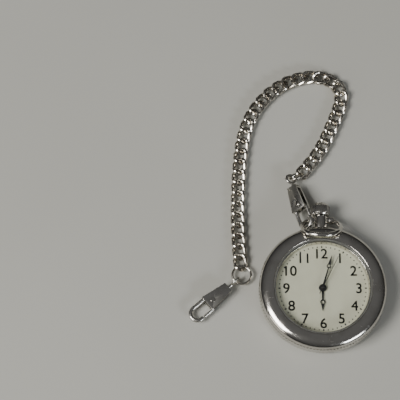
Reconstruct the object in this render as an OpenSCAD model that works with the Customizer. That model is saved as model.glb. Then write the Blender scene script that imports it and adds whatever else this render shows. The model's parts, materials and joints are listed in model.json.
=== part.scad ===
// Open-face pocket watch with a quartz movement, a swinging bow, and a curb chain with two swivel clasps.
// Frame: origin at the middle of the back's flat, +Z to the crystal, +Y to 12 o'clock, +X to 3 o'clock.

/* [Case] */
// Diameter over the coin edge
case_d = 42; // [40:0.5:46]
// Case middle, from the coin edge in to the movement space
case_wall = 3; // [2.8:0.1:3.4]
// Height of the case middle's lower face
middle_z = 1.4; // [1.2:0.1:1.8]
// Height of the face that the bezel sits on
bezel_seat_z = 7; // [6.9:0.1:7.6]
// Height of the bezel's crest above its seat
bezel_rise = 2.7; // [2.5:0.1:3.4]
// Diameter of the opening that shows the dial
opening_d = 30; // [28:0.5:31]
// Diameter of the flat that the back rests on
back_flat_d = 28; // [20:1:30]
// Wall of the snap-on back
back_wall = 0.7; // [0.5:0.05:0.9]
// Number of ribs round the coin edge
coin_ribs = 120; // [60:4:160]
// Depth of the ribs
coin_depth = 0.3; // [0.15:0.05:0.4]

/* [Dial and crystal] */
// Height of the dial's lower face
dial_z = 6; // [5.9:0.05:6.2]
// Thickness of the dial
dial_wall = 0.4; // [0.3:0.05:0.5]
// Thickness of the crystal at its rim
crystal_wall = 1; // [0.8:0.05:1.2]
// Rise of the crystal's crown over its rim
crystal_rise = 0.4; // [0.1:0.1:0.8]

/* [Pendant, crown and bow] */
// Radius of the pendant's neck
neck_r = 2.2; // [2:0.05:2.2]
// Diameter of the crown
crown_d = 6.4; // [6:0.1:6.6]
// Length of the crown
crown_len = 4.2; // [3.8:0.1:4.6]
// How far the crown pulls out to set the hands
crown_pull = 0.9; // [0.6:0.1:1]
// Radius of the stem
stem_r = 0.55; // [0.5:0.05:0.6]
// Thickness of the bow's wire
bow_wire = 1.6; // [1.3:0.1:1.7]
// Radius of the bow to the middle of its wire
bow_r = 6.3; // [6.2:0.1:6.6]
// Distance of the bow's pivot from the case
bow_out = 3; // [3:0.1:3.2]
// Lean of the bow where it comes to rest over the bezel, up from flat over the dial
bow_lean = 47; // [46:1:50]

/* [Hands] */
// Length of the hour hand
hour_len = 7.8; // [6:0.1:9]
// Length of the minute hand
minute_len = 11.5; // [10:0.1:12.5]
// Length of the seconds hand
seconds_len = 11.7; // [10:0.1:13]
// Hands' places at rest, clockwise from 12: hour, minute and seconds
hand_angles = [181.4, 16.5, 27];

/* [Movement] */
// Diameter of the main plate
plate_d = 26.2; // [25:0.1:27]
// Height of the main plate's lower face
plate_z = 4.25; // [4.2:0.05:4.3]
// Thickness of the main plate
plate_wall = 1; // [0.9:0.05:1]
// Diameter of the battery
battery_d = 6.8; // [6:0.1:6.8]
// Height of the battery
battery_h = 2.6; // [2.1:0.1:2.6]

/* [Chain] */
// Distance from one link to the next
link_pitch = 3.8; // [3.7:0.05:3.9]
// Width over a link
link_w = 4.5; // [4.2:0.1:4.8]
// Thickness of a link's wire
link_wire = 1.15; // [0.9:0.05:1.2]
// Play between neighbouring links
link_play = 0.2; // [0.1:0.05:0.3]

/* [Clasps] */
// Length of the clasp's channel body
body_len = 9; // [8.5:0.5:10]
// Width of the body at the hook's end
body_w = 4.8; // [4.6:0.1:5.2]
// Thickness over the body's two cheeks
body_t = 3.2; // [2.8:0.1:3.4]
// Thickness of a cheek
cheek = 0.55; // [0.4:0.05:0.6]
// Radius of the hook's round bar
hook_bar_r = 0.7; // [0.65:0.05:0.75]
// Bend radius of the hook's nose, to the middle of its bar
hook_bend_r = 2.3; // [2.2:0.1:2.5]
// Straight length of the hook between the body and the bend
hook_straight = 4.5; // [4:0.25:6]

/* [Hidden] */
$fn = 72;

// Clearances: a turning fit, a seat in one body, the cut past a face, and a shaft through a plate
run_gap = 0.05;
seat_gap = 0.02;
cut = 1;

// Case
case_r = case_d / 2;
bore_r = case_r - case_wall;
opening_r = opening_d / 2;
back_flat_r = back_flat_d / 2;
rebate_r = bore_r + 0.8;
lip_wall = 0.7;
lip_top_z = middle_z + 0.8;
gasket_top_z = lip_top_z + 0.6;
rim_h = 0.8;
rim_r = case_r - coin_depth - 0.1;
bezel_skirt_z = bezel_seat_z - 0.75;
crystal_r = opening_r + 0.75;
crystal_gasket_wall = 0.3;
crystal_z = bezel_seat_z + bezel_rise - crystal_wall - 0.25;
crest_r = crystal_r + crystal_gasket_wall + 0.65;
dial_top_z = dial_z + dial_wall;
dial_r = bore_r - 0.8;

// Pendant, crown and bow
stem_z = plate_z + plate_wall / 2;
spigot_r = 1.35;
seat_y = case_r - 0.6;
bow_y = case_r + bow_out;
boss_r = 1.15;
neck_end_y = bow_y + boss_r + 0.1;
tube_r = 1.2;
tube_end_y = neck_end_y + 1.4;
crown_y = neck_end_y + 0.25;
crown_end_y = crown_y + crown_len;
crown_bore_r = 1.78;
crown_flutes = 28;
boss_x = neck_r + 0.6;
eye_wall = 1.4;
eye_r = 1.3;
eye_x = boss_x + 0.1 + eye_wall / 2;
screw_r = 0.6;
screw_inner_x = stem_r + 1;
screw_outer_x = eye_x + eye_wall / 2;
bow_centre = sqrt(bow_r * bow_r - eye_x * eye_x);

// Movement: layers from the back to the dial
bridge_z = 1.9;
bridge_top_z = 2.5;
level_rotor = bridge_top_z + 0.16;
level_seconds = level_rotor + 0.34;
level_third = level_seconds + 0.32;
level_centre = level_third + 0.34;
plate_top_z = plate_z + plate_wall;
wheel_h = 0.17;
plate_r = plate_d / 2;
ledge_r = plate_r - 0.5;

// Movement: tooth counts and modules
leaves = 8;
seconds_teeth = 40;
third_teeth = 60;
centre_teeth = 64;
intermediate_teeth = 48;
cannon_teeth = 12;
minute_teeth = 36;
minute_leaves = 10;
hour_teeth = 40;
module_rotor = 0.1;
module_step = 0.12;
module_third = 0.126;
third_distance = module_third * (leaves + third_teeth) / 2;
module_centre = 2 * third_distance / (leaves + centre_teeth);
module_motion = 0.14;
motion_distance = module_motion * (cannon_teeth + minute_teeth) / 2;
module_hour = 2 * motion_distance / (minute_leaves + hour_teeth);
step_distance = module_step * (leaves + seconds_teeth) / 2;
rotor_distance = module_rotor * (leaves + intermediate_teeth) / 2;

// Movement: places of the axes seen from the dial
third_angle = 150;
motor_angle = -45;
motion_angle = 90;
third_pos = third_distance * [cos(third_angle), sin(third_angle)];
intermediate_pos = step_distance * [cos(motor_angle), sin(motor_angle)];
rotor_pos = (step_distance + rotor_distance) * [cos(motor_angle), sin(motor_angle)];
motion_pos = motion_distance * [cos(motion_angle), sin(motion_angle)];
battery_pos = [-6.2, -5.2];
coil_distance = 9.4;
coil_r = 1;
coil_len = 7;
core_len = 10;
core_r = 0.35;
coil_z = 3.1;
bridge_screw_pos = [[-2.9, 8.1], [8.1, 1], [-0.6, -8.5]];
clamp_screw = 2;
foot_pos = [[8.4, 8.4], [-8.4, -9]];

// Movement: shafts
pivot_r = 0.12;
seconds_arbor_r = 0.2;
centre_tube_r = 0.42;
cannon_r = 0.58;
hour_pipe_r = 0.85;
stud_r = 0.16;
motion_stud_r = 0.25;
hand_wall = 0.15;
hour_hand_z = dial_top_z + 0.35;
minute_hand_z = hour_hand_z + 0.5;
seconds_hand_z = minute_hand_z + 0.5;

// Keyless work
square_side = 0.7;
square_y = 6;
groove_y = 9.7;
groove_w = 0.7;
groove_r = 0.28;
clutch_y = 6.5;
clutch_r = 1.05;
lever_pin_r = 0.25;
lever_arm = 1.95;
lever_pivot = [2.54, groove_y + crown_pull / 2];
lever_half = asin(crown_pull / 2 / lever_arm);
lever_z = plate_top_z + 0.05;
lever_wall = 0.25;

// Chain
chain_z = 1.75;
link_bend_r = (link_w - link_wire) / 2;
link_straight = link_pitch + link_wire + link_play - 2 * link_bend_r;
link_roll = 45;

// Clasps: along x from the middle of the swivel's eye to the nose
swivel_r = 1.5;
swivel_wire_r = 0.5;
swivel_shank_r = 0.55;
body_x = 3.3;
end_wall = 1.1;
body_end_x = body_x + body_len;
body_small_w = 3.4;
nose_x = body_end_x + hook_straight;
rivet_x = body_end_x - 2.2;
rivet_r = 0.5;
hub_r = 1.05;
gate_r = 0.5;
gate_t = body_t - 2 * cheek - 0.3;
gate_tip_x = nose_x - 1.1;
gate_gap = 0.5;
pad_x = body_x + 2.6;
pad_len = 3;
pad_rise = 0.9;
pad_grooves = 5;
coil_spring_r = 0.75;
coil_spring_wire = 0.13;
end_ring_wire_r = 0.45;
watch_ring_r = 2.3;
far_ring_r = 3.1;
far_ring_wire_r = 0.4;

// Where the watch's clasp lies: its hook holds the bow's wire beside the left eyelet
hold_v = 1.25;
hold_slack = 0.45;
hold_x = nose_x + hook_bend_r - hook_bar_r - bow_wire / 2 - hold_slack;
hold = [
    -sqrt(bow_r * bow_r - pow(bow_centre - hold_v, 2)),
    bow_y - hold_v * cos(bow_lean),
    stem_z + hold_v * sin(bow_lean)
];
watch_heading = -74;
watch_slope = 9;
watch_roll = 220;
watch_dir = [cos(watch_slope) * cos(watch_heading), cos(watch_slope) * sin(watch_heading), sin(watch_slope)];
watch_eye = hold - hold_x * watch_dir;
watch_swivel_roll = -21;
watch_ring_heading = 32;
watch_ring_roll = -53;
watch_ring_dir = [cos(watch_ring_heading), sin(watch_ring_heading)];
watch_ring_dip = asin((watch_eye[2] - chain_z) / (2 * watch_ring_r));
watch_ring_far = [watch_eye[0], watch_eye[1]] + 2 * watch_ring_r * cos(watch_ring_dip) * watch_ring_dir;
route_first = [-3.3, 44.9];
route_first_way = route_first - watch_ring_far;
chain_start = watch_ring_far
    - (end_ring_wire_r + link_play / 2) * route_first_way / norm(route_first_way);

// The route's points lie on the table plane, from the watch's clasp to the far clasp
route = concat([chain_start, route_first], [
    [-0.6, 48.4], [1.9, 52.6], [4.3, 57.9], [6.6, 63.2], [8.2, 67.9], [8.5, 71.8], [6.4, 75.3],
    [2.2, 77.3], [-3, 77.6], [-8.2, 76.3], [-13, 73.9], [-17.3, 70.4], [-20.9, 66], [-23.7, 60.9],
    [-25.5, 55], [-26.5, 48.5], [-27.1, 42], [-27.4, 36], [-27.6, 30], [-27.6, 24], [-27.4, 18],
    [-27.1, 12.5], [-26.6, 7.6]
]);

// Points of a toothed wheel's outline: a tooth is centred on the x axis
function tooth_points(n, m) = let (
    tip = m * n / 2 + 0.9 * m, root = m * n / 2 - 1.15 * m, step = 360 / n,
    half_root = step * 0.3, half_tip = step * 0.11
) [for (i = [0 : n - 1]) for (k = [[-half_root, root], [-half_tip, tip], [half_tip, tip], [half_root, root]])
    k[1] * [cos(i * step + k[0]), sin(i * step + k[0])]];

// A toothed wheel of n teeth with a round bore, turned so that a tooth, or a gap, faces one direction
module wheel(n, m, h, bore, face, gap = false, holes = 0, hole_ring = 0, hole_r = 0)
    rotate([0, 0, face + (gap ? 180 / n : 0)])
        linear_extrude(height = h) difference() {
            polygon(tooth_points(n, m));
            if (bore > 0) circle(r = bore);
            if (holes > 0) for (i = [1 : holes])
                rotate([0, 0, i * 360 / holes]) translate([hole_ring, 0]) circle(r = hole_r);
        }

// A ring between two radii, from z up by h
module ring(r_out, r_in, z, h)
    translate([0, 0, z]) difference() {
        cylinder(r = r_out, h = h);
        translate([0, 0, -cut]) cylinder(r = r_in, h = h + 2 * cut);
    }

// A round bar or cutter along y on the stem's axis, between two places
module along_stem(y0, y1, r)
    translate([0, y0, stem_z]) rotate([-90, 0, 0]) cylinder(r = r, h = y1 - y0);

// A round bar along x, centred
module across(r, w) rotate([0, 90, 0]) cylinder(r = r, h = w, center = true);

// A torus about z
module loop_ring(r, wire_r) rotate_extrude() translate([r, 0]) circle(r = wire_r);

// A flat bar from one point of a plane to another
module beam(a, b, w, h) translate([a[0], a[1], 0])
    rotate([0, 0, atan2(b[1] - a[1], b[0] - a[0])]) translate([0, -w / 2, 0]) cube([norm(b - a), w, h]);

// ---- Case ----

module coin_outline() {
    step = 360 / coin_ribs;
    polygon([for (i = [0 : coin_ribs - 1]) for (k = [0, 1])
        (case_r - k * coin_depth) * [cos((i + k / 2) * step), sin((i + k / 2) * step)]]);
}

module case_middle() color("silver") difference() {
    union() {
        translate([0, 0, middle_z]) cylinder(r1 = case_r - 0.8, r2 = rim_r, h = rim_h);
        translate([0, 0, middle_z + rim_h])
            linear_extrude(height = bezel_seat_z - middle_z - 2 * rim_h) coin_outline();
        translate([0, 0, bezel_seat_z - rim_h]) cylinder(r = rim_r, h = rim_h);
    }
    translate([0, 0, -cut]) cylinder(r = bore_r, h = bezel_seat_z + 2 * cut);
    translate([0, 0, -cut]) cylinder(r = rebate_r, h = gasket_top_z + cut);
    translate([0, 0, bezel_skirt_z - seat_gap]) cylinder(r = rebate_r, h = 2 * cut);
    along_stem(bore_r - cut, case_r + cut, spigot_r + seat_gap);
    along_stem(seat_y, case_r + cut, neck_r + seat_gap);
}

// The back is a shallow dish whose edge curves up to the case middle
back_edge_r = case_r - 0.8;
function back_curve(lift, grow) = [for (a = [0 : 10 : 90])
    [back_flat_r + (back_edge_r - back_flat_r + grow) * sin(a), lift + middle_z * (1 - cos(a))]];

module case_back() color("silver") rotate_extrude() {
    difference() {
        polygon(concat([[0, 0]], back_curve(0, 0), [[0, middle_z]]));
        polygon(concat([[0, back_wall]], back_curve(back_wall, -back_wall), [[0, 2 * middle_z]]));
    }
    translate([rebate_r - seat_gap - lip_wall, middle_z - 0.35])
        square([lip_wall, lip_top_z - middle_z + 0.35]);
}

module back_gasket() color("black")
    ring(rebate_r - seat_gap, bore_r + 0.15, lip_top_z, gasket_top_z - lip_top_z);

module bezel() color("silver") rotate_extrude() difference() {
    polygon(concat(
        [[opening_r, dial_top_z + seat_gap], [rebate_r - seat_gap - lip_wall, dial_top_z + seat_gap],
         [rebate_r - seat_gap - lip_wall, bezel_skirt_z], [rebate_r - seat_gap, bezel_skirt_z],
         [rebate_r - seat_gap, bezel_seat_z]],
        [for (a = [0 : 7.5 : 90]) [crest_r + (case_r - 0.1 - crest_r) * cos(a),
                                    bezel_seat_z + bezel_rise * sin(a)]],
        [[crystal_r + crystal_gasket_wall, bezel_seat_z + bezel_rise - 0.25],
         [opening_r, bezel_seat_z + bezel_rise - 0.25]]
    ));
    translate([0, crystal_z]) square([crystal_r + crystal_gasket_wall + seat_gap, 2 * cut]);
}

module crystal() color("lightcyan", 0.3) rotate_extrude()
    polygon(concat(
        [[0, crystal_z], [crystal_r, crystal_z]],
        [for (k = [0 : 0.125 : 1]) [crystal_r * (1 - k), crystal_z + crystal_wall + crystal_rise * (2 - k) * k]]
    ));

module crystal_gasket() color("white")
    ring(crystal_r + crystal_gasket_wall, crystal_r + seat_gap, crystal_z, crystal_wall - 0.1);

module dial() color("ivory") {
    ring(dial_r, hour_pipe_r + 0.35, dial_z, dial_wall);
    for (p = foot_pos) translate([p[0], p[1], plate_z + 0.2]) cylinder(r = 0.35, h = dial_z - plate_z - 0.2);
}

module pendant() color("silver") difference() {
    union() {
        along_stem(bore_r + 0.1, seat_y + cut, spigot_r);
        along_stem(seat_y, neck_end_y, neck_r);
        along_stem(neck_end_y - cut, tube_end_y, tube_r);
        translate([0, bow_y, stem_z]) across(boss_r, 2 * boss_x);
    }
    along_stem(0, tube_end_y + cut, stem_r + run_gap);
    for (s = [-1, 1]) translate([s * (screw_inner_x + boss_x) / 2, bow_y, stem_z])
        across(screw_r + seat_gap, boss_x - screw_inner_x + 2 * seat_gap);
}

// ---- Movement ----

module movement_holder() color("gainsboro") difference() {
    translate([0, 0, middle_z + 0.6]) cylinder(r = bore_r - 0.1, h = dial_z - middle_z - 0.6);
    translate([0, 0, -cut]) cylinder(r = ledge_r, h = dial_z + 2 * cut);
    translate([0, 0, plate_z]) cylinder(r = plate_r + seat_gap, h = dial_z);
    along_stem(0, bore_r + cut, stem_r + 0.3);
}

module main_plate() color("goldenrod") {
    difference() {
        translate([0, 0, plate_z]) cylinder(r = plate_r, h = plate_wall);
        translate([0, 0, plate_z - cut]) cylinder(r = centre_tube_r + run_gap, h = plate_wall + 2 * cut);
        for (p = [third_pos, rotor_pos]) translate([p[0], p[1], plate_z - cut])
            cylinder(r = pivot_r + run_gap, h = plate_wall + 2 * cut);
        for (p = bridge_screw_pos) translate([p[0], p[1], plate_z - cut])
            cylinder(r = 0.42, h = plate_wall + 2 * cut);
        for (p = foot_pos) translate([p[0], p[1], plate_z - cut])
            cylinder(r = 0.37, h = plate_wall + 2 * cut);
        translate([-stem_r - 0.2, square_y - 0.3, plate_z - cut])
            cube([2 * stem_r + 0.4, plate_r, plate_wall + 2 * cut]);
        translate([-clutch_r - 0.25, clutch_y - 0.2, plate_z - cut])
            cube([2 * clutch_r + 0.5, 2.3, plate_wall + 2 * cut]);
        translate([0, groove_y - 0.5, plate_z - cut])
            cube([1.15, crown_pull + 1, plate_wall + 2 * cut]);
        along_stem(square_y - 1.6, square_y, 0.3);
    }
    translate([motion_pos[0], motion_pos[1], plate_top_z - 0.2])
        cylinder(r = motion_stud_r, h = dial_z - plate_top_z + 0.1);
    translate([lever_pivot[0], lever_pivot[1], plate_top_z - 0.2]) cylinder(r = 0.35, h = 0.6);
}

module train_bridge() color("goldenrod") difference() {
    union() {
        translate([0, 0, bridge_z]) {
            h = bridge_top_z - bridge_z;
            cylinder(r = 4.5, h = h);
            for (p = [third_pos, rotor_pos]) translate(p) cylinder(r = 1.1, h = h);
            beam([0, 0], rotor_pos, 2.2, h);
            for (p = bridge_screw_pos) {
                beam([0, 0], p, 1.8, h);
                translate(p) cylinder(r = 1, h = plate_z - bridge_z);
            }
        }
        translate([intermediate_pos[0], intermediate_pos[1], bridge_z])
            cylinder(r = stud_r, h = level_seconds + 0.35 - bridge_z);
    }
    for (p = [[0, 0], third_pos, rotor_pos]) translate([p[0], p[1], bridge_z - cut])
        cylinder(r = pivot_r + run_gap, h = 3);
    for (p = bridge_screw_pos) translate([p[0], p[1], bridge_z - cut]) cylinder(r = 0.42, h = 4);
}

// The screw that also holds the battery's clamp has its head lower, under the clamp's eye
module bridge_screws() color("steelblue") for (i = [0 : 2]) {
    p = bridge_screw_pos[i];
    head_z = bridge_z - (i == clamp_screw ? 0.85 : 0.3);
    translate([p[0], p[1], head_z]) difference() {
        union() {
            cylinder(r = 0.85, h = 0.3);
            cylinder(r = 0.4, h = plate_top_z - 0.2 - head_z);
        }
        translate([-cut, -0.1, -cut]) cube([2 * cut, 0.2, cut + 0.15]);
    }
}

module battery() color("silver") translate([battery_pos[0], battery_pos[1], plate_z - battery_h]) {
    cylinder(d = battery_d - 0.8, h = 0.3);
    translate([0, 0, 0.3]) cylinder(d = battery_d, h = battery_h - 0.3);
}

module battery_clamp() color("silver") {
    clamp_z = bridge_z - 0.55;
    h = plate_z - battery_h - clamp_z;
    p = bridge_screw_pos[clamp_screw];
    difference() {
        union() {
            translate([battery_pos[0], battery_pos[1], clamp_z]) cylinder(d = battery_d - 1.2, h = h);
            translate([0, 0, clamp_z]) beam(battery_pos, p, 1.4, h);
            translate([p[0], p[1], clamp_z]) cylinder(r = 0.9, h = bridge_z - clamp_z);
        }
        translate([battery_pos[0], battery_pos[1], 0]) cylinder(r = 1.4, h = plate_z);
        translate([p[0], p[1], 0]) cylinder(r = 0.42, h = plate_z);
    }
}

board_z = plate_z - 0.3;
module circuit_board() color("darkgreen") intersection() {
    ring(ledge_r - 0.2, 7.4, board_z, 0.3);
    translate([0, 0, board_z - cut]) linear_extrude(height = 2 * cut)
        polygon([for (p = [[3, 68], [40, 68], [40, 24], [3, 24]]) p[0] * [cos(p[1]), sin(p[1])]]);
}

module quartz_can() color("silver")
    translate([6.4, 7.4, board_z - 0.95]) rotate([0, 90, -45]) cylinder(r = 0.95, h = 5.2, center = true);

// The coil's core is turned across the motor's direction
module across_motor() rotate([0, 0, motor_angle])
    translate([coil_distance, 0, coil_z]) rotate([90, 0, 0]) children();

module coil() color("darkorange") across_motor() {
    difference() {
        union() {
            cylinder(r = coil_r, h = coil_len, center = true);
            for (s = [-1, 1]) translate([0, 0, s * (coil_len / 2 + 0.15)])
                cylinder(r = 1.1, h = 0.3, center = true);
        }
        cylinder(r = core_r + seat_gap, h = core_len, center = true);
    }
}

stator_z = level_seconds + 0.25;
leg_y = core_len / 2 - 0.4;
leg_bend = 7;
module stator() color("dimgray") {
    across_motor() cylinder(r = core_r, h = core_len, center = true);
    rotate([0, 0, motor_angle]) translate([0, 0, stator_z]) difference() {
        union() {
            translate([norm(rotor_pos), 0, 0]) cylinder(r = 1.95, h = 0.3);
            for (s = [-1, 1]) {
                beam([norm(rotor_pos), s], [leg_bend, s * leg_y], 1.2, 0.3);
                translate([leg_bend, s * leg_y, 0]) cylinder(r = 0.6, h = 0.3);
                beam([leg_bend, s * leg_y], [coil_distance, s * leg_y], 1.2, 0.3);
                translate([coil_distance, s * leg_y, 0]) cylinder(r = 0.6, h = 0.3);
            }
        }
        translate([norm(rotor_pos), 0, -cut]) cylinder(r = 1.25, h = 3);
    }
}

// ---- Wheels ----

module at(p, z = 0) translate([p[0], p[1], z]) children();

module rotor() color("silver") at(rotor_pos) {
    translate([0, 0, level_rotor - 0.04])
        wheel(leaves, module_rotor, wheel_h + 0.08, 0, motor_angle + 180, true);
    translate([0, 0, stator_z - 0.1]) cylinder(r = 1, h = 0.5);
    translate([0, 0, bridge_z + 0.15]) cylinder(r = pivot_r, h = plate_top_z - bridge_z - 0.3);
}

module intermediate_wheel() color("gold") at(intermediate_pos) {
    translate([0, 0, level_rotor])
        wheel(intermediate_teeth, module_rotor, wheel_h, stud_r + run_gap, motor_angle, false, 5, 1.35, 0.45);
    translate([0, 0, level_rotor + wheel_h])
        wheel(leaves, module_step, level_seconds + 0.04 - level_rotor, stud_r + run_gap,
              motor_angle + 180, true);
}

module seconds_wheel() color("gold") {
    translate([0, 0, level_seconds])
        wheel(seconds_teeth, module_step, wheel_h, 0, motor_angle, false, 5, 1.4, 0.45);
    translate([0, 0, level_seconds + wheel_h])
        wheel(leaves, module_third, level_third + 0.04 - level_seconds, 0, third_angle, true);
    translate([0, 0, bridge_top_z + 0.1])
        cylinder(r = seconds_arbor_r, h = seconds_hand_z + hand_wall - bridge_top_z - 0.1);
    translate([0, 0, bridge_z + 0.15]) cylinder(r = pivot_r, h = 1);
}

module third_wheel() color("gold") at(third_pos) {
    translate([0, 0, level_third])
        wheel(third_teeth, module_third, wheel_h, 0, third_angle + 180, false, 5, 2.1, 0.7);
    translate([0, 0, level_third + wheel_h])
        wheel(leaves, module_centre, level_centre + 0.06 - level_third, 0, third_angle + 180, true);
    translate([0, 0, bridge_z + 0.15]) cylinder(r = pivot_r, h = plate_top_z - bridge_z - 0.3);
}

module centre_wheel() color("gold") difference() {
    union() {
        translate([0, 0, level_centre])
            wheel(centre_teeth, module_centre, wheel_h, 0, third_angle, false, 5, 2.2, 0.75);
        translate([0, 0, level_centre - 0.04])
            cylinder(r = centre_tube_r, h = plate_top_z + 1.2 - level_centre);
    }
    translate([0, 0, level_centre - cut]) cylinder(r = seconds_arbor_r + run_gap, h = 6);
}

module cannon_pinion() color("gold") difference() {
    union() {
        translate([0, 0, plate_top_z + 0.04])
            cylinder(r = cannon_r, h = minute_hand_z + hand_wall - plate_top_z - 0.04);
        translate([0, 0, plate_top_z + 0.06])
            wheel(cannon_teeth, module_motion, 0.3, 0, motion_angle);
    }
    translate([0, 0, plate_top_z - cut]) cylinder(r = centre_tube_r + seat_gap, h = 6);
}

module minute_wheel() color("gold") at(motion_pos) {
    translate([0, 0, plate_top_z + 0.1])
        wheel(minute_teeth, module_motion, wheel_h, motion_stud_r + run_gap,
              motion_angle + 180, true, 4, 1.3, 0.5);
    translate([0, 0, plate_top_z + 0.1 + wheel_h])
        wheel(minute_leaves, module_hour, dial_z - plate_top_z - 0.16 - wheel_h, motion_stud_r + run_gap,
              motion_angle + 180, true);
}

module hour_wheel() color("gold") {
    hour_wheel_z = dial_z - 0.08 - wheel_h;
    difference() {
        union() {
            translate([0, 0, hour_wheel_z]) wheel(hour_teeth, module_hour, wheel_h, 0, motion_angle);
            translate([0, 0, hour_wheel_z])
                cylinder(r = hour_pipe_r, h = hour_hand_z + hand_wall - hour_wheel_z);
        }
        translate([0, 0, hour_wheel_z - cut]) cylinder(r = cannon_r + run_gap, h = 6);
    }
}

// ---- Hands: an open ring near the tip, drawn pointing along +y ----

module pomme_hand(len, ring_at, ring_r, hub, bore, width) linear_extrude(height = hand_wall) difference() {
    union() {
        circle(r = hub);
        polygon([[-width, 0], [width, 0], [width / 2, ring_at], [-width / 2, ring_at]]);
        translate([0, ring_at]) circle(r = ring_r);
        polygon([[-ring_r * 0.7, ring_at + ring_r * 0.6], [ring_r * 0.7, ring_at + ring_r * 0.6],
                 [0.06, len], [-0.06, len]]);
    }
    circle(r = bore);
    translate([0, ring_at + ring_r * 0.12]) circle(r = ring_r * 0.58);
}

module hour_hand() color("black") translate([0, 0, hour_hand_z]) rotate([0, 0, -hand_angles[0]])
    pomme_hand(hour_len, hour_len - 3, 0.85, 1.3, hour_pipe_r + seat_gap, 0.42);

module minute_hand() color("black") translate([0, 0, minute_hand_z]) rotate([0, 0, -hand_angles[1]])
    pomme_hand(minute_len, minute_len - 3.9, 0.75, 1.1, cannon_r + seat_gap, 0.36);

module seconds_hand() color("black") translate([0, 0, seconds_hand_z]) rotate([0, 0, -hand_angles[2]])
    linear_extrude(height = hand_wall) difference() {
        union() {
            circle(r = 0.6);
            polygon([[-0.13, -2.5], [0.13, -2.5], [0.07, seconds_len], [-0.07, seconds_len]]);
        }
        circle(r = seconds_arbor_r + seat_gap);
    }

// ---- Crown, stem and setting ----

module crown() color("silver") difference() {
    translate([0, crown_y, stem_z]) rotate([-90, 0, 0]) union() {
        cylinder(r1 = crown_d / 2 - 0.5, r2 = crown_d / 2 - 0.2, h = 0.5);
        translate([0, 0, 0.5]) linear_extrude(height = crown_len - 1.5)
            difference() {
                circle(d = crown_d);
                for (i = [1 : crown_flutes]) rotate([0, 0, i * 360 / crown_flutes])
                    translate([crown_d / 2 + 0.12, 0]) circle(r = 0.3);
            }
        translate([0, 0, crown_len - 1]) cylinder(r1 = crown_d / 2 - 0.2, r2 = crown_d / 2 - 0.9, h = 1);
    }
    along_stem(crown_y - cut, tube_end_y + 0.25, crown_bore_r);
    along_stem(crown_y - cut, crown_end_y - 1.2, stem_r + seat_gap);
}

module crown_gasket() color("black") translate([0, tube_end_y - 0.5, stem_z]) rotate([90, 0, 0])
    loop_ring((crown_bore_r + tube_r) / 2, (crown_bore_r - tube_r) / 2 - seat_gap);

module stem() color("silver") difference() {
    union() {
        along_stem(square_y - 1.4, square_y + 0.2, 0.25);
        translate([-square_side / 2, square_y, stem_z - square_side / 2])
            cube([square_side, groove_y - 0.6 - square_y, square_side]);
        along_stem(groove_y - 0.65, crown_end_y - 1.25, stem_r);
    }
    translate([0, groove_y - groove_w / 2, stem_z]) rotate([-90, 0, 0]) difference() {
        cylinder(r = 2, h = groove_w);
        translate([0, 0, -cut]) cylinder(r = groove_r, h = groove_w + 2 * cut);
    }
}

module clutch_pinion() color("silver") difference() {
    translate([0, clutch_y, stem_z]) rotate([-90, 0, 0]) union() {
        wheel(12, 0.15, 0.8, 0, 0);
        cylinder(r = 0.7, h = 1.4);
        translate([0, 0, 1.3]) cylinder(r = 0.95, h = 0.5);
    }
    translate([-square_side / 2 - 0.04, clutch_y - cut, stem_z - square_side / 2 - 0.04])
        cube([square_side + 0.08, 4, square_side + 0.08]);
}

module setting_lever() color("silver") translate([lever_pivot[0], lever_pivot[1], lever_z])
    rotate([0, 0, 180 + lever_half]) difference() {
        union() {
            cylinder(r = 0.75, h = lever_wall);
            beam([0, 0], [lever_arm, 0], 0.8, lever_wall);
            translate([lever_arm, 0, 0]) cylinder(r = 0.4, h = lever_wall);
            translate([lever_arm, 0, stem_z - 0.3 - lever_z])
                cylinder(r = lever_pin_r, h = lever_z - stem_z + 0.4);
        }
        translate([0, 0, -cut]) cylinder(r = 0.35 + run_gap, h = 3);
    }

// ---- Bow ----

module bow() color("silver") translate([0, bow_y, stem_z]) rotate([180 - bow_lean, 0, 0]) difference() {
    union() {
        translate([0, bow_centre, 0]) difference() {
            loop_ring(bow_r, bow_wire / 2);
            translate([-eye_x - 0.2, -2 * bow_r - bow_centre + 0.2, -2]) cube([2 * eye_x + 0.4, 2 * bow_r, 4]);
        }
        for (s = [-1, 1]) translate([s * eye_x, 0, 0]) across(eye_r, eye_wall);
    }
    across(screw_r + run_gap, 20);
    across(eye_r + 0.1, 2 * boss_x + 0.2);
}

// Headless screws, flush with the eyelets, with a slot across the outer end
module bow_screws() color("silver") for (s = [-1, 1]) translate([0, bow_y, stem_z]) difference() {
    translate([s * (screw_inner_x + screw_outer_x) / 2, 0, 0])
        across(screw_r, screw_outer_x - screw_inner_x);
    translate([s * screw_outer_x, 0, 0]) cube([0.5, 0.25, 4], center = true);
}

// ---- Chain ----

// The route as a smooth curve through its points
route_steps = 6;
function route_point(i) = route[min(max(i, 0), len(route) - 1)];
function curve_point(i, t) = let (
    a = route_point(i - 1), b = route_point(i), c = route_point(i + 1), d = route_point(i + 2)
) 0.5 * ((2 * b) + (c - a) * t + (2 * a - 5 * b + 4 * c - d) * t * t + (3 * b - a - 3 * c + d) * t * t * t);
curve = [
    for (i = [0 : len(route) - 2]) for (k = [0 : route_steps - 1]) curve_point(i, k / route_steps),
    route_point(len(route))
];
function lengths(i = 0, s = 0) = i == len(curve) ? [] :
    let (here = s + (i == 0 ? 0 : norm(curve[i] - curve[i - 1]))) concat([here], lengths(i + 1, here));
curve_s = lengths();
table_x = [for (i = [0 : len(curve) - 1]) [curve_s[i], curve[i][0]]];
table_y = [for (i = [0 : len(curve) - 1]) [curve_s[i], curve[i][1]]];
function on_route(s) = [lookup(s, table_x), lookup(s, table_y)];
link_count = floor(curve_s[len(curve) - 1] / link_pitch);

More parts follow.
